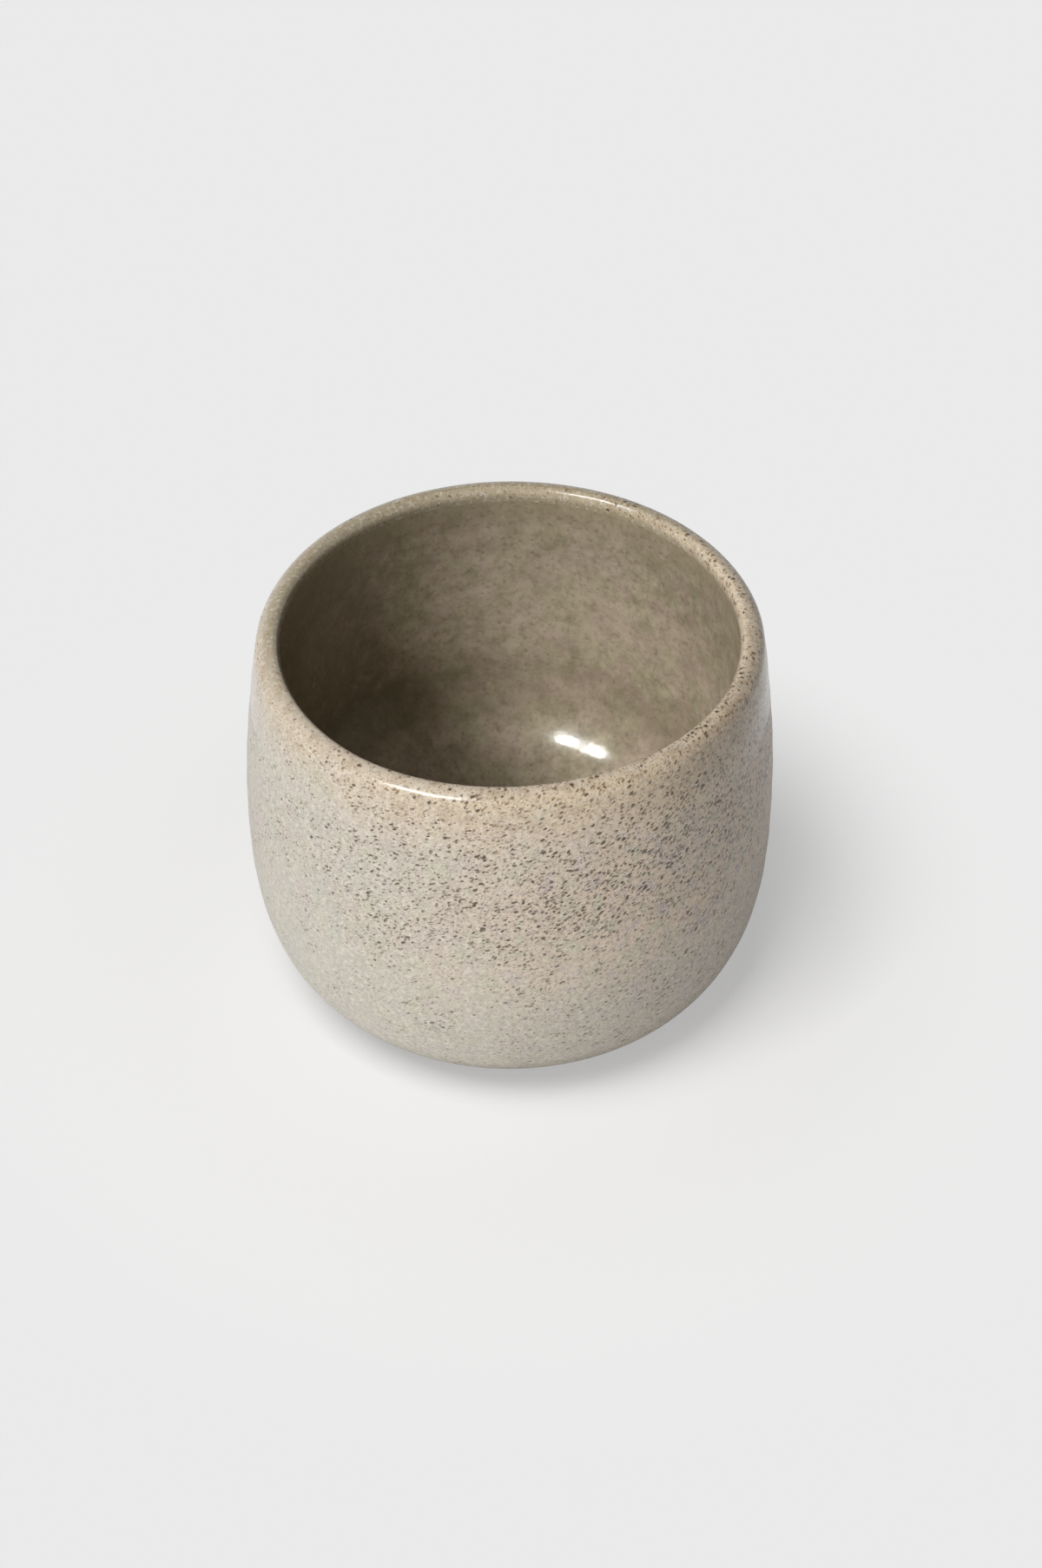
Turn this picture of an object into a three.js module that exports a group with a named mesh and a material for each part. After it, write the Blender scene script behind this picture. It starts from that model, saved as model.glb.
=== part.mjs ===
// Handle-less stoneware coffee cup: a thrown clay body with a round belly, a lip that
// tucks in a little and a low trimmed foot ring, coated with glaze inside and out.
// Millimetres, +Z up. The origin is on the table, on the cup's axis.
import * as THREE from 'three';

// Finished outside form, measured over the glaze
const CUP_HEIGHT = 67;
const BELLY_DIAMETER = 85;
const BELLY_HEIGHT = 31.5;
const LIP_LEAN = THREE.MathUtils.degToRad(8.9);
const HEEL_FULLNESS = 0.7; // 0.55 turns the heel in a quarter ellipse, more makes it squarer

// Clay walls
const LIP_OUTER_ROUND = 2.25; // radii, which together make the lip's thickness
const LIP_INNER_ROUND = 0.55;
const BELLY_THICKNESS = 3.7;
const FLOOR_THICKNESS = 5.8;
const FLOOR_DIAMETER = 30;
const BOWL_HEIGHT = 28; // where the inside wall starts to round into the floor
const BOWL_FULLNESS = 0.55;

// Foot ring, trimmed into the base and left bare
const FOOT_DIAMETER = 48.4;
const FOOT_HEIGHT = 1.3;
const FOOT_RING_WIDTH = 3.6;
const FOOT_WELL_DEPTH = 2.8;
const FOOT_EDGE_RADIUS = 0.6;

// Glaze coats
const GLAZE_THICKNESS = 0.4;
const LINER_THICKNESS = 0.35;
const WELL_GLAZE_THICKNESS = 0.3;
const BEAD_THICKNESS = 0.7;
const BEAD_LENGTH = 5;
const GLAZE_TURNOVER = 1.2; // how far the outside glaze runs down the inner wall
const BARE_BAND = 2.6;
const WELL_BARE_BAND = 1.2;
const BOND_GAP = 0.03;
const SEAM_GAP = 0.12;

// Facets around the axis and along each stretch of the profile
const SEGMENTS = 48;
const EDGE_STEPS = 3;
const HEEL_STEPS = 9;
const WALL_STEPS = 6;
const LIP_STEPS = 4;
const BOWL_STEPS = 9;

// The clay lies one coat inside the finished form
const coat = BOND_GAP + GLAZE_THICKNESS;
const clayTop = CUP_HEIGHT - coat;
const clayBelly = BELLY_DIAMETER / 2 - coat;
const footOuter = FOOT_DIAMETER / 2;
const footInner = footOuter - FOOT_RING_WIDTH;
const floorHeight = FOOT_WELL_DEPTH + FLOOR_THICKNESS;

// Heel: springs level from the top of the foot ring and turns up to the belly
const heel = new THREE.CubicBezierCurve(
  new THREE.Vector2(footOuter, FOOT_HEIGHT),
  new THREE.Vector2(THREE.MathUtils.lerp(footOuter, clayBelly, HEEL_FULLNESS), FOOT_HEIGHT),
  new THREE.Vector2(clayBelly, THREE.MathUtils.lerp(BELLY_HEIGHT, FOOT_HEIGHT, HEEL_FULLNESS)),
  new THREE.Vector2(clayBelly, BELLY_HEIGHT),
);

// Outer wall: an arc that is upright at the belly and leans in by LIP_LEAN at the lip
const wallRise = clayTop - LIP_OUTER_ROUND * (1 - Math.sin(LIP_LEAN)) - BELLY_HEIGHT;
const wallRadius = wallRise / Math.sin(LIP_LEAN);
const outerWall = new THREE.EllipseCurve(
  clayBelly - wallRadius, BELLY_HEIGHT, wallRadius, wallRadius, 0, LIP_LEAN,
);

// Lip: a wide round carries the outer wall up to the crown, and a tight one turns into the inner wall
const outerEdge = outerWall.getPoint(1);
const outerLip = new THREE.EllipseCurve(
  outerEdge.x - LIP_OUTER_ROUND * Math.cos(LIP_LEAN),
  outerEdge.y - LIP_OUTER_ROUND * Math.sin(LIP_LEAN),
  LIP_OUTER_ROUND, LIP_OUTER_ROUND, LIP_LEAN, Math.PI / 2,
);
const crown = outerLip.getPoint(1);
const innerLip = new THREE.EllipseCurve(
  crown.x, crown.y - LIP_INNER_ROUND,
  LIP_INNER_ROUND, LIP_INNER_ROUND, Math.PI / 2, Math.PI + LIP_LEAN,
);
const innerEdge = innerLip.getPoint(1);

// Inner wall: follows the lip's lean down and is upright again where the bowl begins
const innerBelly = clayBelly - BELLY_THICKNESS;
const innerWall = new THREE.QuadraticBezierCurve(
  innerEdge,
  new THREE.Vector2(innerBelly, innerEdge.y - (innerBelly - innerEdge.x) / Math.tan(LIP_LEAN)),
  new THREE.Vector2(innerBelly, BOWL_HEIGHT),
);

// Inner bowl: rounds from the wall into the flat floor
const floorEdge = FLOOR_DIAMETER / 2;
const bowl = new THREE.CubicBezierCurve(
  new THREE.Vector2(innerBelly, BOWL_HEIGHT),
  new THREE.Vector2(innerBelly, THREE.MathUtils.lerp(BOWL_HEIGHT, floorHeight, BOWL_FULLNESS)),
  new THREE.Vector2(THREE.MathUtils.lerp(floorEdge, innerBelly, BOWL_FULLNESS), floorHeight),
  new THREE.Vector2(floorEdge, floorHeight),
);
const floor = new THREE.LineCurve(
  new THREE.Vector2(floorEdge, floorHeight),
  new THREE.Vector2(0, floorHeight),
);

// Stations along a curve: each has its point and the normal that points out of the clay
function stations(curve, steps, start = 0, end = 1) {
  return Array.from({ length: steps + 1 }, (_, step) => {
    const t = THREE.MathUtils.lerp(start, end, step / steps);
    const tangent = curve.getTangent(t);
    return { point: curve.getPoint(t), normal: new THREE.Vector2(tangent.y, -tangent.x) };
  });
}

// The points of a run of stations, lifted off the clay by a height that may vary along it
function lifted(run, height) {
  return run.map(({ point, normal }, index) => {
    const lift = typeof height === 'function' ? height(index) : height;
    return point.clone().addScaledVector(normal, lift);
  });
}

// A run with the first station of the next stretch left out where two stretches meet
function joined(...runs) {
  return runs.flatMap((run, index) => (index === 0 ? run : run.slice(1)));
}

function turned(name, profile, material) {
  const geometry = new THREE.LatheGeometry(profile, SEGMENTS);
  geometry.rotateX(Math.PI / 2);
  const mesh = new THREE.Mesh(geometry, material);
  mesh.name = name;
  return mesh;
}

// A quarter round at an edge of the foot ring, from one angle to the next
function footEdge(x, from, to) {
  return new THREE.EllipseCurve(
    x, FOOT_EDGE_RADIUS, FOOT_EDGE_RADIUS, FOOT_EDGE_RADIUS, from, to,
  ).getPoints(EDGE_STEPS);
}

const glazeStart = heel.getUtoTmapping(0, BARE_BAND);
const heelRun = stations(heel, HEEL_STEPS, glazeStart);
const wallRun = stations(outerWall, WALL_STEPS);
const lipRun = joined(stations(outerLip, LIP_STEPS), stations(innerLip, LIP_STEPS));
const seam = innerWall.getUtoTmapping(0, GLAZE_TURNOVER);
const linerStart = innerWall.getUtoTmapping(0, GLAZE_TURNOVER + SEAM_GAP);
const turnoverRun = stations(innerWall, 1, 0, seam);
const innerRun = stations(innerWall, WALL_STEPS, seam);
const bowlRun = joined(stations(bowl, BOWL_STEPS), stations(floor, 1));

// Clay body: underside of the well, foot ring, heel, wall, lip and the hollow inside
function clayBody() {
  const profile = [
    new THREE.Vector2(0, FOOT_WELL_DEPTH),
    new THREE.Vector2(footInner, FOOT_WELL_DEPTH),
    ...footEdge(footInner + FOOT_EDGE_RADIUS, Math.PI, 1.5 * Math.PI),
    ...footEdge(footOuter - FOOT_EDGE_RADIUS, 1.5 * Math.PI, 2 * Math.PI),
    heel.getPoint(0),
    ...lifted(joined(heelRun, wallRun, lipRun, turnoverRun, innerRun, bowlRun), 0),
  ];
  return turned('clay_body', profile, new THREE.MeshStandardMaterial({
    name: 'buff_stoneware', color: 0xb3a48c, roughness: 0.85, metalness: 0,
  }));
}

// Outside glaze: dipped over wall and lip, thickened to a soft bead where it stops at the foot
function outsideGlaze() {
  const run = joined(heelRun, wallRun, lipRun, turnoverRun);
  const climb = heel.getLength() - BARE_BAND;
  const surface = (index) => {
    const along = Math.min(index / HEEL_STEPS, 1) * climb;
    const bead = Math.max(1 - along / BEAD_LENGTH, 0);
    return BOND_GAP + THREE.MathUtils.lerp(GLAZE_THICKNESS, BEAD_THICKNESS, bead * bead);
  };
  const outer = lifted(run, surface);
  const inner = lifted(run, BOND_GAP).reverse();
  return turned('outside_glaze', [...outer, ...inner, outer[0].clone()], new THREE.MeshStandardMaterial({
    name: 'speckled_greige_glaze', color: 0xbcb09d, roughness: 0.36, metalness: 0,
  }));
}

// Liner glaze: poured inside, from the seam under the lip down to the floor
function linerGlaze() {
  const run = joined(stations(innerWall, WALL_STEPS, linerStart), bowlRun);
  const outer = lifted(run, BOND_GAP + LINER_THICKNESS);
  const inner = lifted(run, BOND_GAP).reverse();
  return turned('liner_glaze', [...inner, ...outer], new THREE.MeshStandardMaterial({
    name: 'olive_brown_liner', color: 0x8a7d68, roughness: 0.12, metalness: 0,
  }));
}

// Well glaze: a thin pool under the base, wiped back from the foot ring
function wellGlaze() {
  const edge = footInner - WELL_BARE_BAND;
  const top = FOOT_WELL_DEPTH - BOND_GAP;
  const bottom = top - WELL_GLAZE_THICKNESS;
  const profile = [
    new THREE.Vector2(0, bottom),
    new THREE.Vector2(edge - WELL_GLAZE_THICKNESS, bottom),
    new THREE.Vector2(edge, top),
    new THREE.Vector2(0, top),
  ];
  return turned('foot_well_glaze', profile, new THREE.MeshStandardMaterial({
    name: 'well_glaze', color: 0xbcb09d, roughness: 0.36, metalness: 0,
  }));
}

const cup = new THREE.Group();
cup.name = 'coffee_cup';
cup.add(clayBody(), outsideGlaze(), linerGlaze(), wellGlaze());

export default cup;
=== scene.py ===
import math

import bmesh
import bpy
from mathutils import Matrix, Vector, noise
from mathutils.geometry import interpolate_bezier


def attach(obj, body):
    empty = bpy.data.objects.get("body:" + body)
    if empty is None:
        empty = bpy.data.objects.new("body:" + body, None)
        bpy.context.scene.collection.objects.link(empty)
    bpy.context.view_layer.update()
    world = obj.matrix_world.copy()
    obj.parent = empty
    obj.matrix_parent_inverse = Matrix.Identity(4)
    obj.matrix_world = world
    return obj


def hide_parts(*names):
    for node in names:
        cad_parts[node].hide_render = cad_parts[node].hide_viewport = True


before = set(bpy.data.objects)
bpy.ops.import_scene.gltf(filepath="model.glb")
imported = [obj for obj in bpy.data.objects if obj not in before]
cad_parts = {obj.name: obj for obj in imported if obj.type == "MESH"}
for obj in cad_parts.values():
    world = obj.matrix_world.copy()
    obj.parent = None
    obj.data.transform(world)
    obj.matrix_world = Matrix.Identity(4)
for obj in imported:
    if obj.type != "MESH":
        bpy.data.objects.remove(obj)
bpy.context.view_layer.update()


# Clay body: buff stoneware, thrown on a wheel and trimmed underneath to a low foot ring.
# Glaze covers all of it but the foot ring and a narrow band of heel, so only those show,
# from below, as a matt and slightly gritty bare clay.
MM = 0.001
CLAY_TOP = 66.57 * MM
CLAY_BELLY = 42.07 * MM
BELLY_HEIGHT = 31.5 * MM
HEEL_FULLNESS = 0.7
LIP_LEAN = math.radians(8.9)
LIP_OUTER_ROUND = 2.25 * MM
LIP_INNER_ROUND = 0.75 * MM
LIP_INNER_DEPTH = 1.5 * MM
ROUNDNESS = 0.55
BELLY_THICKNESS = 3.7 * MM
FLOOR_HEIGHT = 8.6 * MM
FLOOR_RADIUS = 15 * MM
BOWL_HEIGHT = 28 * MM
BOWL_FULLNESS = 0.55
WALL_TURN = 2 / 3
FOOT_OUTER = 24.2 * MM
FOOT_INNER = 20.6 * MM
FOOT_HEIGHT = 1.3 * MM
FOOT_WELL = 2.8 * MM
FOOT_EDGE = 0.6 * MM

# How finely the section and its turn about the axis are drawn
HEEL_POINTS = 40
WALL_POINTS = 36
CROWN_POINTS = 12
INNER_LIP_POINTS = 16
BOWL_POINTS = 36
FLOOR_POINTS = 7
FOOT_WALL_POINTS = 4
FOOT_EDGE_POINTS = 6
TURN_STEPS = 160
MERGE_DISTANCE = 0.001 * MM
SHARP_EDGE = math.radians(38)

# Unevenness of the throwing; each wave of the lip has a count around it, a rise and a start
RING_DEPTH = 0.03 * MM
RING_SPACING = 1.05 * MM
LUMP_DEPTH = 0.1 * MM
LUMP_SIZE = 16 * MM
OVAL_DEPTH = 0.15 * MM
OVAL_TURN = 0.6
UNEVEN_FROM = 1 / 3
CORE_RADIUS = 8 * MM
LIP_WAVES = ((1, 0.43 * MM, -0.58), (2, 0.385 * MM, 1.96), (3, 0.13 * MM, -2.25))
LIP_DROP = 0.1 * MM
LIP_ASIDE = 0.2 * MM
LIP_STEEPNESS = 3

# Bare clay: its colours, its matt grain and the grog in it
CLAY_BUFF = (0.46, 0.38, 0.28, 1)
CLAY_PALE = (0.58, 0.5, 0.39, 1)
CLAY_GRIT = (0.2, 0.14, 0.09, 1)
CLAY_MATT = 0.78
CLAY_GRAIN = dict(scale=3.0, detail=4.0, rough=0.6)
CLAY_GRAIN_ROUGHNESS = 0.12
CLAY_BUMP = dict(strength=0.5, depth=0.05 * MM)
CLAY_TONES = dict(scale=0.25, detail=3.0, edges=(0.3, 0.7))
GRITTY_PATCHES = dict(scale=0.4, edges=(0.45, 0.6))
GROG_CELLS = 1.6
GROG_EDGES = (0.2, 0.1)


def bend(start, leaving, arriving, end, count):
    """Points along one smooth stretch of a section, both ends included."""
    return interpolate_bezier(Vector(start), Vector(leaving), Vector(arriving), Vector(end), count)


def straight(start, end, count):
    """Points evenly along a straight stretch of a section, both ends included."""
    start, end = Vector(start), Vector(end)
    return [start.lerp(end, step / (count - 1)) for step in range(count)]


def mix(a, b, share):
    return a + (b - a) * share


def arc_handle(angle, radius):
    """How far a curve's handle reaches to draw an arc of this angle and radius."""
    return 4 / 3 * math.tan(angle / 4) * radius


def arc(centre, radius, start, end, count):
    """Points along an arc of a section, from one angle to another."""
    handle = arc_handle(end - start, radius)
    first = centre + radius * Vector((math.cos(start), math.sin(start)))
    last = centre + radius * Vector((math.cos(end), math.sin(end)))
    leaving = first + handle * Vector((-math.sin(start), math.cos(start)))
    arriving = last - handle * Vector((-math.sin(end), math.cos(end)))
    return bend(first, leaving, arriving, last, count)


def outside_line(lift):
    """The outside from the foot ring up over the lip to its inner edge, lifted off the clay."""
    belly = CLAY_BELLY + lift
    heel_low = FOOT_HEIGHT - lift
    round_radius = LIP_OUTER_ROUND + lift
    rise = CLAY_TOP + lift - round_radius * (1 - math.sin(LIP_LEAN)) - BELLY_HEIGHT
    wall_radius = rise / math.sin(LIP_LEAN)
    edge = Vector((belly - wall_radius * (1 - math.cos(LIP_LEAN)), BELLY_HEIGHT + rise))
    reach = arc_handle(LIP_LEAN, wall_radius)
    lean = Vector((-math.sin(LIP_LEAN), math.cos(LIP_LEAN)))
    centre = edge - round_radius * Vector((math.cos(LIP_LEAN), math.sin(LIP_LEAN)))
    heel = bend(
        (FOOT_OUTER, heel_low),
        (mix(FOOT_OUTER, belly, HEEL_FULLNESS), heel_low),
        (belly, mix(BELLY_HEIGHT, heel_low, HEEL_FULLNESS)),
        (belly, BELLY_HEIGHT),
        HEEL_POINTS,
    )
    start = Vector((belly, BELLY_HEIGHT))
    wall = bend(start, start + Vector((0, reach)), edge - reach * lean, edge, WALL_POINTS)
    crown = arc(centre, round_radius, LIP_LEAN, math.pi / 2, CROWN_POINTS)
    inner_edge = crown[-1] - Vector((LIP_INNER_ROUND + lift, LIP_INNER_DEPTH + lift))
    inner = bend(
        crown[-1],
        crown[-1] - Vector((ROUNDNESS * (LIP_INNER_ROUND + lift), 0)),
        inner_edge + ROUNDNESS * (LIP_INNER_DEPTH + lift) * lean,
        inner_edge,
        INNER_LIP_POINTS,
    )
    return heel + wall[1:] + crown[1:] + inner[1:]


def inside_line(lift, edge):
    """The inside from the lip's inner edge down the wall and the bowl to the floor's centre."""
    belly = CLAY_BELLY - BELLY_THICKNESS - lift
    floor = FLOOR_HEIGHT + lift
    turn = Vector((belly, edge.y - (belly - edge.x) / math.tan(LIP_LEAN)))
    low = Vector((belly, BOWL_HEIGHT))
    wall = bend(edge, edge.lerp(turn, WALL_TURN), low.lerp(turn, WALL_TURN), low, WALL_POINTS)
    bowl = bend(
        low,
        (belly, mix(BOWL_HEIGHT, floor, BOWL_FULLNESS)),
        (mix(FLOOR_RADIUS, belly, BOWL_FULLNESS), floor),
        (FLOOR_RADIUS, floor),
        BOWL_POINTS,
    )
    middle = straight((FLOOR_RADIUS, floor), (0, floor), FLOOR_POINTS)
    return wall + bowl[1:] + middle[1:]


def hand_thrown(point):
    """Moves a point by the small unevenness that the wheel and the hand leave in the clay."""
    angle = math.atan2(point.y, point.x)
    share = max(point.z, 0) / CLAY_TOP
    uneven = min(1, share / UNEVEN_FROM)
    ring = RING_DEPTH * math.sin(point.z / RING_SPACING + angle) * uneven
    lump = LUMP_DEPTH * noise.noise(point / LUMP_SIZE) * uneven
    oval = OVAL_DEPTH * math.cos(2 * angle - OVAL_TURN) * share
    wider = 1 + (ring + lump + oval) / max(math.hypot(point.x, point.y), CORE_RADIUS)
    wave = sum(rise * math.cos(count * angle + start) for count, rise, start in LIP_WAVES)
    at_lip = share ** LIP_STEEPNESS
    return Vector((
        point.x * wider + LIP_ASIDE * at_lip,
        point.y * wider,
        point.z + (wave - LIP_DROP) * at_lip,
    ))


def turned(name, line):
    """A closed section turned about the cup's axis into one smooth piece."""
    bm = bmesh.new()
    corners = [bm.verts.new((p.x, 0, p.y)) for p in line]
    pairs = zip(corners, corners[1:] + corners[:1])
    edges = [bm.edges.new(pair) for pair in pairs if pair[0].co.x + pair[1].co.x > 0]
    bmesh.ops.spin(
        bm, geom=corners + edges, cent=(0, 0, 0), axis=(0, 0, 1), angle=math.tau,
        steps=TURN_STEPS, use_merge=True,
    )
    bmesh.ops.remove_doubles(bm, verts=bm.verts, dist=MERGE_DISTANCE)
    bmesh.ops.recalc_face_normals(bm, faces=bm.faces)
    for vert in bm.verts:
        vert.co = hand_thrown(vert.co)
    mesh = bpy.data.meshes.new(name)
    bm.to_mesh(mesh)
    bm.free()
    mesh.polygons.foreach_set("use_smooth", [True] * len(mesh.polygons))
    mesh.set_sharp_from_angle(angle=SHARP_EDGE)
    piece = bpy.data.objects.new(name, mesh)
    bpy.context.scene.collection.objects.link(piece)
    return piece


class Wire:
    """An output of a shader node. Sums on wires add the Math nodes that work them out."""

    # Sockets of a Mix node that mixes colours, and the mean of soft noise
    MIX_SHARE, MIX_FIRST, MIX_SECOND, MIX_RESULT = 0, 6, 7, 2
    CLOUD_MEAN = 0.5

    def __init__(self, tree, socket):
        self.tree = tree
        self.socket = socket

    def node(self, kind, settings=None, inputs=None, output=0):
        """Adds a node: its settings first, then the values or wires of its inputs."""
        made = self.tree.nodes.new("ShaderNode" + kind)
        for key, value in (settings or {}).items():
            setattr(made, key, value)
        for key, value in (inputs or {}).items():
            if isinstance(value, Wire):
                self.tree.links.new(value.socket, made.inputs[key])
            else:
                made.inputs[key].default_value = value
        return Wire(self.tree, made.outputs[output])

    def sum(self, operation, first, second):
        return self.node("Math", {"operation": operation}, {0: first, 1: second})

    def __add__(self, other):
        return self.sum("ADD", self, other)

    __radd__ = __add__

    def __sub__(self, other):
        return self.sum("SUBTRACT", self, other)

    def __rsub__(self, other):
        return self.sum("SUBTRACT", other, self)

    def __mul__(self, other):
        return self.sum("MULTIPLY", self, other)

    __rmul__ = __mul__

    def step(self, low, high):
        """0 below low and 1 above high, with a smooth climb between. Falls if low is the higher."""
        return self.node(
            "MapRange", {"interpolation_type": "SMOOTHSTEP"},
            {"Value": self, "From Min": low, "From Max": high},
        )

    def blend(self, first, second):
        """Two colours mixed by this wire: 0 is the first and 1 the second."""
        inputs = {self.MIX_SHARE: self, self.MIX_FIRST: first, self.MIX_SECOND: second}
        return self.node("Mix", {"data_type": "RGBA"}, inputs, self.MIX_RESULT)

    def moved(self, offset):
        """This place shifted by a vector."""
        return self.node("VectorMath", {"operation": "ADD"}, {0: self, 1: offset})

    def scaled(self, amount):
        """This vector made longer or shorter."""
        return self.node("VectorMath", {"operation": "SCALE"}, {0: self, "Scale": amount})

    def stretched(self, amounts):
        """This vector stretched by its own amount along each axis."""
        return self.node("VectorMath", {"operation": "MULTIPLY"}, {0: self, 1: amounts})

    def twisted(self, angle):
        """This place turned about the cup's axis."""
        return self.node("VectorRotate", {"rotation_type": "Z_AXIS"}, {"Vector": self, "Angle": angle})

    def length(self):
        return self.node("VectorMath", {"operation": "LENGTH"}, {0: self}, output="Value")

    def part(self, axis):
        return self.node("SeparateXYZ", inputs={0: self}, output=axis)

    def clouds(self, scale, detail=2.0, rough=0.5, output=0):
        """Soft noise at this place, from 0 to 1, with so many lumps to a millimetre."""
        return self.node(
            "TexNoise", {"noise_dimensions": "3D"},
            {"Vector": self, "Scale": scale, "Detail": detail, "Roughness": rough}, output,
        )

    def patches(self, edges, at=(0, 0, 0), **pattern):
        """Soft patches: clouds read at a shifted place and stepped between two edges."""
        return self.moved(at).clouds(**pattern).step(*edges)

    def swing(self, reach):
        """Clouds turned into a swing to both sides of nought."""
        return reach * (self - self.CLOUD_MEAN)

    def bump(self, strength, depth):
        """The normal of a surface that has this wire for its height."""
        return self.node("Bump", inputs={"Strength": strength, "Distance": depth, "Height": self})


def finish(name):
    """A new material: the wire of its place in millimetres, and its shader."""
    material = bpy.data.materials.new(name)
    material.use_nodes = True
    tree = material.node_tree
    shader = tree.nodes["Principled BSDF"]
    metres = Wire(tree, tree.nodes.new("ShaderNodeTexCoord").outputs["Object"])
    return material, metres.scaled(1 / MM), shader


def feed(shader, inputs):
    """Sets a shader's inputs to wires or plain values."""
    for key, value in inputs.items():
        if isinstance(value, Wire):
            value.tree.links.new(value.socket, shader.inputs[key])
        else:
            shader.inputs[key].default_value = value


def dress(piece, material, node):
    """Gives a piece its finish and puts it in place of the plain solid of its node."""
    piece.data.materials.append(material)
    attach(piece, "root")
    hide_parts(node)


clay_outside = outside_line(0)
clay_inside = inside_line(0, clay_outside[-1])
quarter = math.pi / 2
ring_inside = Vector((FOOT_INNER + FOOT_EDGE, FOOT_EDGE))
ring_outside = Vector((FOOT_OUTER - FOOT_EDGE, FOOT_EDGE))
foot_ring = (
    straight((FOOT_INNER, FOOT_WELL), (FOOT_INNER, FOOT_EDGE), FOOT_WALL_POINTS)
    + arc(ring_inside, FOOT_EDGE, 2 * quarter, 3 * quarter, FOOT_EDGE_POINTS)[1:]
    + arc(ring_outside, FOOT_EDGE, 3 * quarter, 4 * quarter, FOOT_EDGE_POINTS)
)
clay = turned(
    "clay_body_thrown", [Vector((0, FOOT_WELL))] + foot_ring + clay_outside + clay_inside[1:],
)
stoneware, place, shader = finish("bare_stoneware")
grog = place.node("TexVoronoi", inputs={"Vector": place, "Scale": GROG_CELLS})
grit = grog.step(*GROG_EDGES) * place.patches(**GRITTY_PATCHES)
grain = place.clouds(**CLAY_GRAIN)
buff = place.patches(**CLAY_TONES).blend(CLAY_BUFF, CLAY_PALE)
feed(shader, {
    "Base Color": grit.blend(buff, CLAY_GRIT),
    "Roughness": CLAY_MATT + CLAY_GRAIN_ROUGHNESS * grain,
    "Normal": (grain + grit).bump(**CLAY_BUMP),
})
dress(clay, stoneware, "clay_body")


# Outside glaze: a satin warm grey stoneware glaze, dipped over wall and lip so that it stops in
# a soft bead near the foot. Iron in the clay bleeds through it as dark brown specks. The lip was
# dipped a second time, so it is glossier there, and it breaks to tan where it runs thin.
COAT = 0.43 * MM
BOND_GAP = 0.03 * MM
GLAZE_LINE = 26.8 * MM
BEAD = 0.3 * MM
BEAD_SAG = 0.1 * MM
BEAD_POINTS = 7
TURNOVER_POINTS = 2

# Colours of the coat, of its thin lip and of the iron in it, and the pale of a painted reflection on
# the crest's front
GLAZE_CREAM = (0.553, 0.503, 0.437, 1)
GLAZE_GREEN_GREY = (0.503, 0.492, 0.428, 1)
GLAZE_PINK_GREY = (0.558, 0.488, 0.435, 1)
GLAZE_LAVENDER = (0.45, 0.4, 0.355, 1)
GLAZE_OLIVE_GREY = (0.45, 0.42, 0.345, 1)
GLAZE_LILAC = (0.555, 0.482, 0.452, 1)
GLAZE_SAGE = (0.547, 0.525, 0.41, 1)
GLAZE_PALE = (0.71, 0.655, 0.57, 1)
GLAZE_TOAST_AND_PAINTED_LIGHT = (0.86, 0.635, 0.445, 1)
LIP_TAN = (0.615, 0.503, 0.365, 1)
LIP_AMBER = (0.74, 0.585, 0.37, 1)
LIP_PAINTED_REFLECTION = (0.78, 0.67, 0.54, 1)
LIP_BROWN = (0.44, 0.32, 0.205, 1)
LIP_OLIVE = (0.415, 0.35, 0.225, 1)
SPECK_RUST = (0.22, 0.14, 0.075, 1)
SPECK_BROWN = (0.135, 0.1, 0.065, 1)
SPECK_DARK = (0.075, 0.047, 0.025, 1)

# Zones in millimetres: where each starts and is full, in height, in radius or to the right or back
BAND_FROM = (30, 42)
BAND_FADES = (54, 63)
BAND_FADE = 0.5
BAND_TILT = 0.13
RIGHTWARD_FROM = (-38, 30)
RIGHTWARD_SWING = 30
SPECKLED_FROM = (-40, -18)
SPECKLED_SWING = 20
FRONT_FROM = (25, -15)
FRONT_SLANT = 0.5
HEEL_FROM = (38, 20)
DEEP_FROM = (28, 44)
SHOULDER_FROM = (56, 62)
SHOULDER_SWING = 5
BROWNED_RIGHT = (15, 35)
BROWNED_FRONT = (-8, -20)
THIN_FROM = (53, 66)
THIN_SWING = 9
STREAKED_FROM = (57, 63)
LIP_FROM = (60, 63)
CREST_WITHIN = (39.2, 38.2)
INWARD_WITHIN = (37.1, 36.8)
INWARD_UNDER = (65.6, 64.4)
INWARD_SWING = 1.5
SECOND_DIP = (54, 56)
DIP_SWING = 3
DULL_LIP = (61, 64)

# Clouds in the coat: lumps to a millimetre, and where patches of them begin and are full
DRIFT = dict(scale=0.12, detail=3.0, rough=0.6)
CLUMPS = dict(scale=0.4, detail=2.0)
GRAIN = dict(scale=1.3, detail=4.0, rough=0.7)
GRAIN_DARK = (0.48, 0.68)
GRAIN_PALE = (0.52, 0.32)
BLUSH = dict(scale=0.3, detail=3.0, rough=0.6)
BLUSH_AT = (17, -8, 25)
BLUSH_LILAC = (0.5, 0.64)
BLUSH_SAGE = (0.5, 0.36)
TONES = dict(scale=0.09, detail=4.0, rough=0.6, edges=(0.4, 0.6))
PINKS = dict(scale=0.12, detail=4.0, rough=0.6, edges=(0.45, 0.62), at=(40, 10, 0))
LILACS = dict(scale=0.07, detail=3.0, edges=(0.46, 0.64), at=(-30, 20, 7))
STREAKS = dict(scale=0.4, detail=3.0, rough=0.6, edges=(0.48, 0.66), at=(5, 60, 0))
THINNING = dict(scale=0.16, detail=3.0)
DIP_EDGE = dict(scale=0.15, detail=3.0)
RIPPLES = dict(scale=0.5, detail=2.0)
PITS = dict(scale=3.0, detail=2.0)
PIT_SHARE = 0.15
SPECK_SINK = 0.1

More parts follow.
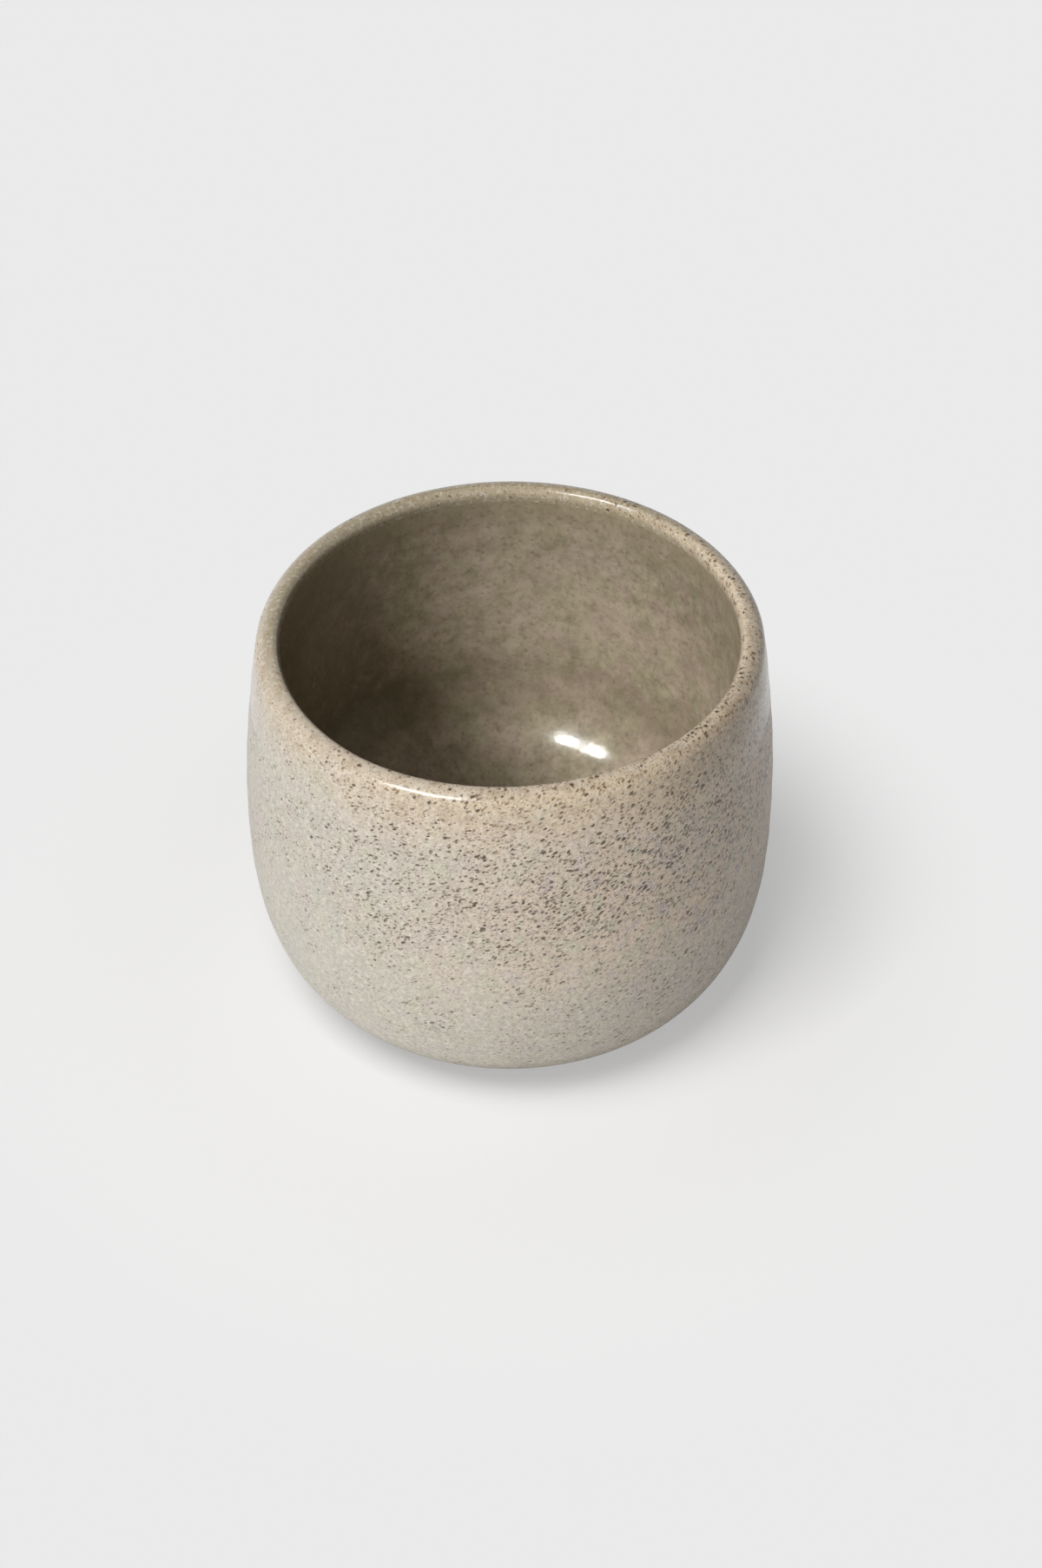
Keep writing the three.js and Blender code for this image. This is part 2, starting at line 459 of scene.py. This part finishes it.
# Specks: how they crowd, lie and fade, and their layers
SPECK_BASE = 0.02
DRIFT_CROWDING = 0.9
CLUMP_CROWDING = 0.65
SPECK_JITTER = 0.7
JITTER = dict(scale=1.1, detail=2.0)
SPECK_TWIST = -0.013
SPECK_FLATNESS = 1.25
SPECK_SMALLEST = 0.6
SPECK_SPREAD = 0.6
CHOICE_EDGE = 0.04
SEED_STEPS = (1, 1.7, 0.6)
HEEL_DEPTH = 0.85
INWARD_FADE = 0.55
RUSTY_SHARE = 0.75
FINE_SPECKS = dict(more=0.3, cells=2.3, size=0.36, soft=0.16, seed=3.1)
RUSTY_SPECKS = dict(more=0.26, cells=1.7, size=0.34, soft=0.16, seed=31.9)
MEDIUM_SPECKS = dict(more=-0.03, cells=1.4, size=0.37, soft=0.12, seed=11.7)
BOLD_SPECKS = dict(more=-0.21, cells=1.12, size=0.34, soft=0.1, seed=23.3)

# Washes whose strength changes over the coat, and its sheen
LILAC_WASH = 0.3
LILAC_MORE_RIGHTWARD = 0.4
CREST_WASH = 0.8
CREST_LESS_IN_FRONT = 0.45
DAPPLE_WASH = 0.7
DAPPLE_LESS_ON_CREST = 0.4
SATIN = 0.36
GLOSS = 0.14
DRIFT_ROUGHNESS = 0.06
SPECK_ROUGHNESS = 0.08
LIP_ROUGHNESS = 0.07
GLAZE_BUMP = dict(strength=0.35, depth=0.05 * MM)
GLAZE_IOR = 1.52


def specks(place, density, more, cells, size, soft, seed):
    """A layer of specks: 1 in a speck and 0 between them, with more where density is high.

    Cells is the number of places for a speck to a millimetre, and size and soft are in cells.
    """
    spot = place.moved([seed * step for step in SEED_STEPS])
    inputs = {"Vector": spot, "Scale": cells, "Randomness": 1.0}
    distance = place.node("TexVoronoi", inputs=inputs)
    lot = place.node("TexVoronoi", inputs=inputs, output="Color")
    chosen = (density + more - lot.part("X")).step(-CHOICE_EDGE, CHOICE_EDGE)
    reach = size * (SPECK_SMALLEST + SPECK_SPREAD * lot.part("Y"))
    return (distance - reach).step(soft, -soft) * chosen


def washed(colour, washes):
    """A colour with washes laid over it in turn: the strength, place and colour of each."""
    for strength, where, wash in washes:
        colour = (strength * where).blend(colour, wash)
    return colour


coat_outer = [p for p in outside_line(COAT) if p.x > GLAZE_LINE or p.y > BELLY_HEIGHT]
coat_inner = [p for p in outside_line(BOND_GAP) if p.x > GLAZE_LINE or p.y > BELLY_HEIGHT]
bead = bend(
    coat_inner[0], coat_inner[0] + Vector((-BEAD, -BEAD_SAG)),
    coat_outer[0] + Vector((-BEAD, 0)), coat_outer[0], BEAD_POINTS,
)
liner_outer = inside_line(COAT, coat_outer[-1])
liner_inner = inside_line(BOND_GAP, coat_inner[-1])
coat_outer += liner_outer[1:TURNOVER_POINTS]
coat_inner += liner_inner[1:TURNOVER_POINTS]
coat = turned("outside_glaze_coat", bead + coat_outer[1:] + coat_inner[:0:-1])
greige, place, shader = finish("speckled_greige_glaze")
across, back, height = place.part("X"), place.part("Y"), place.part("Z")
radius = place.stretched((1, 1, 0)).length()
drift = place.clouds(**DRIFT)
clump = place.clouds(**CLUMPS)

level = height - BAND_TILT * across
band = level.step(*BAND_FROM) * (1 - BAND_FADE * level.step(*BAND_FADES))
rightward = (across + drift.swing(RIGHTWARD_SWING)).step(*RIGHTWARD_FROM)
speckled = (across + drift.swing(SPECKLED_SWING)).step(*SPECKLED_FROM)
front = (back - FRONT_SLANT * across).step(*FRONT_FROM)
lip = height.step(*LIP_FROM)
crest = radius.step(*CREST_WITHIN) * lip
inward = (height + clump.swing(INWARD_SWING)).step(*INWARD_UNDER) * radius.step(*INWARD_WITHIN) * lip
shoulder = (height + clump.swing(SHOULDER_SWING)).step(*SHOULDER_FROM) * (1 - crest)
browned = shoulder * across.step(*BROWNED_RIGHT) * back.step(*BROWNED_FRONT)
thin = (height + place.clouds(**THINNING).swing(THIN_SWING)).step(*THIN_FROM)
second_dip = (height + place.clouds(**DIP_EDGE).swing(DIP_SWING)).step(*SECOND_DIP)

density = SPECK_BASE + drift.swing(DRIFT_CROWDING) + clump.swing(CLUMP_CROWDING)
for crowding, where in (
    (0.14, band),
    (0.24, speckled * band),
    (0.08, speckled),
    (0.28, rightward),
    (0.1, shoulder * (1 - rightward)),
    (0.27, crest * front),
    (-0.25, crest),
):
    density = density + crowding * where
jitter = place.clouds(**JITTER, output="Color").scaled(SPECK_JITTER)
run = place.moved(jitter).stretched((1, 1, SPECK_FLATNESS)).twisted(SPECK_TWIST * height)
depth = HEEL_DEPTH + (1 - HEEL_DEPTH) * height.step(*DEEP_FROM)
depth = depth * (1 - INWARD_FADE * inward)
fine = specks(run, density, **FINE_SPECKS)
rusty = specks(run, RUSTY_SHARE * density, **RUSTY_SPECKS)
medium = specks(run, density, **MEDIUM_SPECKS)
bold = specks(run, density, **BOLD_SPECKS)

grain = place.clouds(**GRAIN)
blush = place.moved(BLUSH_AT).clouds(**BLUSH)
colour = washed(place.patches(**TONES).blend(GLAZE_CREAM, GLAZE_GREEN_GREY), (
    (0.7, place.patches(**PINKS), GLAZE_PINK_GREY),
    (0.2, place.patches(**LILACS) * band, GLAZE_LAVENDER),
    # The right side, which is in shade, is washed a warm toasted tone that is also lighter. This is
    # partly the glaze's own tone and partly painted light.
    (0.6, rightward, GLAZE_TOAST_AND_PAINTED_LIGHT),
    (0.6, height.step(*HEEL_FROM), GLAZE_GREEN_GREY),
    (LILAC_WASH + LILAC_MORE_RIGHTWARD * rightward, blush.step(*BLUSH_LILAC), GLAZE_LILAC),
    (0.7, blush.step(*BLUSH_SAGE), GLAZE_SAGE),
    (0.75, thin, rightward.blend(LIP_TAN, LIP_AMBER)),
    (0.5, browned, LIP_BROWN),
    # The crest is washed olive at the back. At the front it is painted pale, a painted reflection of
    # the bright ground along the front edge.
    (CREST_WASH - CREST_LESS_IN_FRONT * front, crest, front.blend(LIP_OLIVE, LIP_PAINTED_REFLECTION)),
    (0.52, place.patches(**STREAKS) * height.step(*STREAKED_FROM), LIP_BROWN),
    (0.7, inward, LIP_OLIVE),
    (
        DAPPLE_WASH - DAPPLE_LESS_ON_CREST * crest, grain.step(*GRAIN_DARK),
        rightward.blend(GLAZE_OLIVE_GREY, GLAZE_LAVENDER),
    ),
    (0.75, grain.step(*GRAIN_PALE), GLAZE_PALE),
    (0.3, rusty, SPECK_RUST),
    (0.45, fine * depth, SPECK_BROWN),
    (0.8, medium * depth, thin.blend(SPECK_BROWN, SPECK_RUST)),
    (0.9, bold * depth, SPECK_DARK),
))
ripple = place.clouds(**RIPPLES) + PIT_SHARE * place.clouds(**PITS) - SPECK_SINK * medium
sheen = SATIN - (SATIN - GLOSS) * second_dip + LIP_ROUGHNESS * height.step(*DULL_LIP)
feed(shader, {
    "Base Color": colour,
    "Roughness": sheen + DRIFT_ROUGHNESS * drift + SPECK_ROUGHNESS * bold,
    "Normal": ripple.bump(**GLAZE_BUMP),
    "IOR": GLAZE_IOR,
})
dress(coat, greige, "outside_glaze")


# Liner glaze: the same family of glaze poured inside, thicker and olive-brown, with soft cloudy
# blotches where the iron has bled. It is browner in a ring where the wall turns into the bowl,
# paler on the floor, and fuses with the outside coat at the lip's inner edge.
LINER_OLIVE = (0.265, 0.232, 0.15, 1)
LINER_TAN = (0.32, 0.252, 0.185, 1)
LINER_PALE_OLIVE = (0.475, 0.41, 0.285, 1)
LINER_PALE_TAN = (0.5, 0.41, 0.315, 1)
LINER_BROWN = (0.2, 0.16, 0.105, 1)

# Zones in millimetres: where each starts and is full, mostly in height
PALER_FLOOR_UNDER = (24, 15)
PALER_FLOOR_SHARE = 0.6
PAINTED_LIGHT_LEFTWARD = 0.025
WALL_FROM = (26, 36)
WALL_FADES = (44, 54)
WALL_FADE = 0.5
PAINTED_LIGHT_AT = 6
PAINTED_SHADE_ASIDE = 0.0009
PAINTED_LIGHT_AT_BACK = 0.005
PALENESS_LIFT = 0.3
BROWN_RING_FROM = (16, 22)
BROWN_RING_TO = (31, 25)
NEAR_LIP_FROM = (56, 67)
NEAR_LIP_SWING = 6
FRECKLED_FROM = (45, 62)
DULL_WALL = (14, 22)

# Clouds, stains and freckles in the liner, and its sheen
LINER_WARP = dict(scale=0.5, detail=2.0)
LINER_DRIFT = dict(scale=0.13, detail=3.0, rough=0.6)
LINER_MOTTLE = dict(scale=0.32, detail=5.0, rough=0.75)
LINER_WARMTH = dict(scale=0.17, detail=2.0, rough=0.5, edges=(0.36, 0.64), at=(50, -20, 10))
LIP_EDGE = dict(scale=0.3, detail=4.0, rough=0.6)
STAINS = dict(scale=0.8, detail=4.0, rough=0.65, edges=(0.5, 0.7), at=(9, 4, 31))
STAIN_WASH = 0.45
FRECKLES = dict(more=0.3, cells=1.1, size=0.34, soft=0.26, seed=17.9)
FRECKLE_DRIFT = 1.2
FRECKLES_UP = 0.25
FRECKLE_WASH = 0.35
ZONE_PALENESS = 0.5
MOTTLE_PALENESS = 5.5
DRIFT_PALENESS = 0.8
PALE_EDGES = (-0.85, 1.85)
LINER_GLOSS = 0.08
LINER_DRIFT_ROUGHNESS = 0.08
WALL_ROUGHNESS = 0.14
LINER_RIPPLES = dict(scale=0.35, detail=2.0)
LINER_PITS = dict(scale=2.0)
LINER_PIT_SHARE = 0.1
LINER_BUMP = dict(strength=0.35, depth=0.1 * MM)

liner = turned(
    "liner_glaze_coat",
    liner_outer[TURNOVER_POINTS - 1:] + liner_inner[:TURNOVER_POINTS - 2:-1],
)
olive, place, shader = finish("olive_brown_liner")
across, back, height = place.part("X"), place.part("Y"), place.part("Z")
drift = place.clouds(**LINER_DRIFT)
mottle = place.clouds(**LINER_MOTTLE)
warmth = place.patches(**LINER_WARMTH)

# Paler on the floor and low in the bowl. Towards the left, where the floor lies in shade, it is
# painted paler still: painted light.
paler_floor = height.step(*PALER_FLOOR_UNDER) * (PALER_FLOOR_SHARE - PAINTED_LIGHT_LEFTWARD * across)
pale_wall = height.step(*WALL_FROM) * (1 - WALL_FADE * height.step(*WALL_FADES))
# Painted light and shade: the liner is painted darker the further it lies to either side of the
# middle, most on the shaded left. It is painted paler towards the lit back, and a little paler all
# over.
aside = across - PAINTED_LIGHT_AT
painted_light_and_shade = PAINTED_SHADE_ASIDE * aside * aside - PAINTED_LIGHT_AT_BACK * back - PALENESS_LIFT
paleness = ZONE_PALENESS * (paler_floor + pale_wall) - painted_light_and_shade
paleness = paleness + mottle.swing(MOTTLE_PALENESS) + drift.swing(DRIFT_PALENESS)
deep = warmth.blend(LINER_OLIVE, LINER_TAN)
pale = warmth.blend(LINER_PALE_OLIVE, LINER_PALE_TAN)
near_lip = (height + place.clouds(**LIP_EDGE).swing(NEAR_LIP_SWING)).step(*NEAR_LIP_FROM)
colour = washed(paleness.step(*PALE_EDGES).blend(deep, pale), (
    (0.3, height.step(*BROWN_RING_FROM) * height.step(*BROWN_RING_TO), LINER_BROWN),
    (0.7, near_lip, LIP_OLIVE),
))
warped = place.moved(place.clouds(**LINER_WARP, output="Color"))
freckled = drift.swing(FRECKLE_DRIFT) + FRECKLES_UP * height.step(*FRECKLED_FROM)
marks = STAIN_WASH * place.patches(**STAINS) + FRECKLE_WASH * specks(warped, freckled, **FRECKLES)
sheen = LINER_GLOSS + LINER_DRIFT_ROUGHNESS * drift + WALL_ROUGHNESS * height.step(*DULL_WALL)
ripple = place.clouds(**LINER_RIPPLES) + LINER_PIT_SHARE * place.clouds(**LINER_PITS)
feed(shader, {
    "Base Color": marks.blend(colour, LINER_BROWN),
    "Roughness": sheen,
    "Normal": ripple.bump(**LINER_BUMP),
    "IOR": GLAZE_IOR,
})
dress(liner, olive, "liner_glaze")


# Foot well glaze: a thin pool of the outside glaze brushed under the base and wiped back from
# the foot ring, so that the ring can stand bare on the kiln shelf.
WELL_EDGE = 19.4 * MM
WELL_FLAT = 19 * MM
WELL_COAT = 0.3 * MM
WELL_TOP = FOOT_WELL - BOND_GAP
WELL_LOW = WELL_TOP - WELL_COAT
WELL_ROUND_OUT = 0.2 * MM
WELL_ROUND_UP = 0.1 * MM
WELL_POINTS = 9
WELL_RIM_POINTS = 6

well_under = straight((0, WELL_LOW), (WELL_FLAT, WELL_LOW), WELL_POINTS)
well_rim = bend(
    (WELL_FLAT, WELL_LOW), (WELL_FLAT + WELL_ROUND_OUT, WELL_LOW),
    (WELL_EDGE, WELL_LOW + WELL_ROUND_UP), (WELL_EDGE, WELL_TOP), WELL_RIM_POINTS,
)
well_over = straight((WELL_EDGE, WELL_TOP), (0, WELL_TOP), WELL_POINTS)
well = turned("foot_well_glaze_pool", well_under + well_rim[1:] + well_over[1:])
dress(well, greige, "foot_well_glaze")


# Camera: looks down on the cup from the front, a little to the right of its axis.
CAMERA_PITCH = math.radians(41.86)
CAMERA_REACH = 593.7 * MM
CAMERA_AIM = Vector((1.84, 0.48, 34.04)) * MM
FOCAL_PIXELS = 4200
PICTURE_HEIGHT = 1806
SENSOR = 36
CAMERA_NEAR = 10 * MM

camera_data = bpy.data.cameras.new("camera")
camera_data.sensor_fit = "VERTICAL"
camera_data.sensor_height = SENSOR
camera_data.lens = SENSOR * FOCAL_PIXELS / PICTURE_HEIGHT
camera_data.clip_start = CAMERA_NEAR
camera = bpy.data.objects.new("camera", camera_data)
backwards = Vector((0, -math.cos(CAMERA_PITCH), math.sin(CAMERA_PITCH)))
camera.location = CAMERA_AIM + CAMERA_REACH * backwards
camera.rotation_euler = backwards.to_track_quat("Z", "Y").to_euler()
bpy.context.scene.collection.objects.link(camera)
bpy.context.scene.camera = camera


# Studio: a pale floor that keeps the cup's soft shadow and fades into an even pale ground. A small
# window of two panes at the front left and the soft glow of the wall around it light the cup, a
# lamp above lights the floor, and the room is dim.
GROUND = (0.823, 0.823, 0.823, 1)
GROUND_GLOW = (0.96, 0.96, 0.96, 1)
GLOW_SHARE = 0.44
FLOOR_COLOUR = (0.822, 0.817, 0.808, 1)
FLOOR_SIZE = 6
SHADOW_REACH = (52, 112)
ROOM = (0.03, 0.03, 0.03, 1)
ROOM_IN_GLAZE = (0.1, 0.1, 0.1, 1)
BACKDROP_TOP = (0.6, 0.3)
PALE_FROM = (70, 105)
WINDOW_AZIMUTH = math.radians(-137)
WINDOW_HEIGHT = math.radians(43.5)
LIGHT_REACH = 3.0
WINDOW_PANE = (0.46, 0.38)
WINDOW_BAR = 0.2
WINDOW_LEVEL = 0.65
SKY_AZIMUTH = math.radians(-142)
SKY_SIZE = (1.9, 1.9)
SKY_LEVEL = 0.455
LAMP_AZIMUTH = math.radians(-141)
LAMP_HEIGHT = math.radians(67)
LAMP_SIZE = (1.4, 1.4)
LAMP_LEVEL = 0.915

bm = bmesh.new()
bmesh.ops.create_grid(bm, x_segments=1, y_segments=1, size=FLOOR_SIZE / 2)
floor_mesh = bpy.data.meshes.new("floor")
bm.to_mesh(floor_mesh)
bm.free()
floor = bpy.data.objects.new("floor", floor_mesh)
bpy.context.scene.collection.objects.link(floor)
pale, place, shader = finish("pale_floor")
tree = place.tree
away = place.length()
far = away.step(*SHADOW_REACH)
seen = place.node("LightPath", output="Is Camera Ray")
mirrored = place.node("LightPath", output="Is Glossy Ray")
shown = seen * (GLOW_SHARE + (1 - GLOW_SHARE) * far) + mirrored * away.step(*PALE_FROM)
feed(shader, {"Base Color": FLOOR_COLOUR, "Roughness": 1.0, "Specular IOR Level": 0.0})
glow = place.node("Emission", inputs={"Color": far.blend(GROUND_GLOW, GROUND), "Strength": 1.0})
surface = place.node("MixShader", inputs={
    0: shown, 1: Wire(tree, shader.outputs["BSDF"]), 2: glow,
})
tree.links.new(surface.socket, tree.nodes["Material Output"].inputs["Surface"])
floor_mesh.materials.append(pale)


def studio_light(name, azimuth, elevation, size, level, aside, lit):
    """A flat light aimed at the cup. Level is what a white card facing it alone would show."""
    data = bpy.data.lights.new(name, "AREA")
    data.shape = "RECTANGLE"
    data.size = size[0]
    data.size_y = size[1]
    data.energy = level * math.pi ** 2 * LIGHT_REACH ** 2
    lamp = bpy.data.objects.new(name, data)
    flat = math.cos(elevation)
    towards = Vector((
        flat * math.sin(azimuth), flat * math.cos(azimuth), math.sin(elevation),
    ))
    turn = towards.to_track_quat("Z", "Y")
    lamp.rotation_euler = turn.to_euler()
    belly = Vector((0, 0, BELLY_HEIGHT))
    lamp.location = belly + LIGHT_REACH * towards + turn @ Vector((aside, 0, 0))
    bpy.context.scene.collection.objects.link(lamp)
    lamp.light_linking.receiver_collection = lit
    return lamp


cup_only = bpy.data.collections.new("lit_by_window")
for piece in (clay, coat, liner, well):
    cup_only.objects.link(piece)
floor_only = bpy.data.collections.new("lit_by_lamp")
floor_only.objects.link(floor)
pane_offset = (WINDOW_PANE[0] + WINDOW_BAR) / 2
for name, aside in (("window_left_pane", -pane_offset), ("window_right_pane", pane_offset)):
    studio_light(name, WINDOW_AZIMUTH, WINDOW_HEIGHT, WINDOW_PANE, WINDOW_LEVEL / 2, aside, cup_only)
sky = studio_light("window_glow", SKY_AZIMUTH, WINDOW_HEIGHT, SKY_SIZE, SKY_LEVEL, 0, cup_only)
sky.visible_glossy = False
studio_light("floor_lamp", LAMP_AZIMUTH, LAMP_HEIGHT, LAMP_SIZE, LAMP_LEVEL, 0, floor_only)

world = bpy.data.worlds.new("room")
world.use_nodes = True
bpy.context.scene.world = world
tree = world.node_tree
background = tree.nodes["Background"]
room = Wire(tree, background.outputs[0])
upward = room.node("TexCoord", output="Generated").part("Z")
in_glaze = upward.step(*BACKDROP_TOP).blend(ROOM_IN_GLAZE, GROUND)
shown = room.node("LightPath", output="Is Glossy Ray").blend(ROOM, in_glaze)
shown = room.node("LightPath", output="Is Camera Ray").blend(shown, GROUND)
feed(background, {"Color": shown, "Strength": 1.0})
bpy.context.scene.view_settings.view_transform = "Standard"
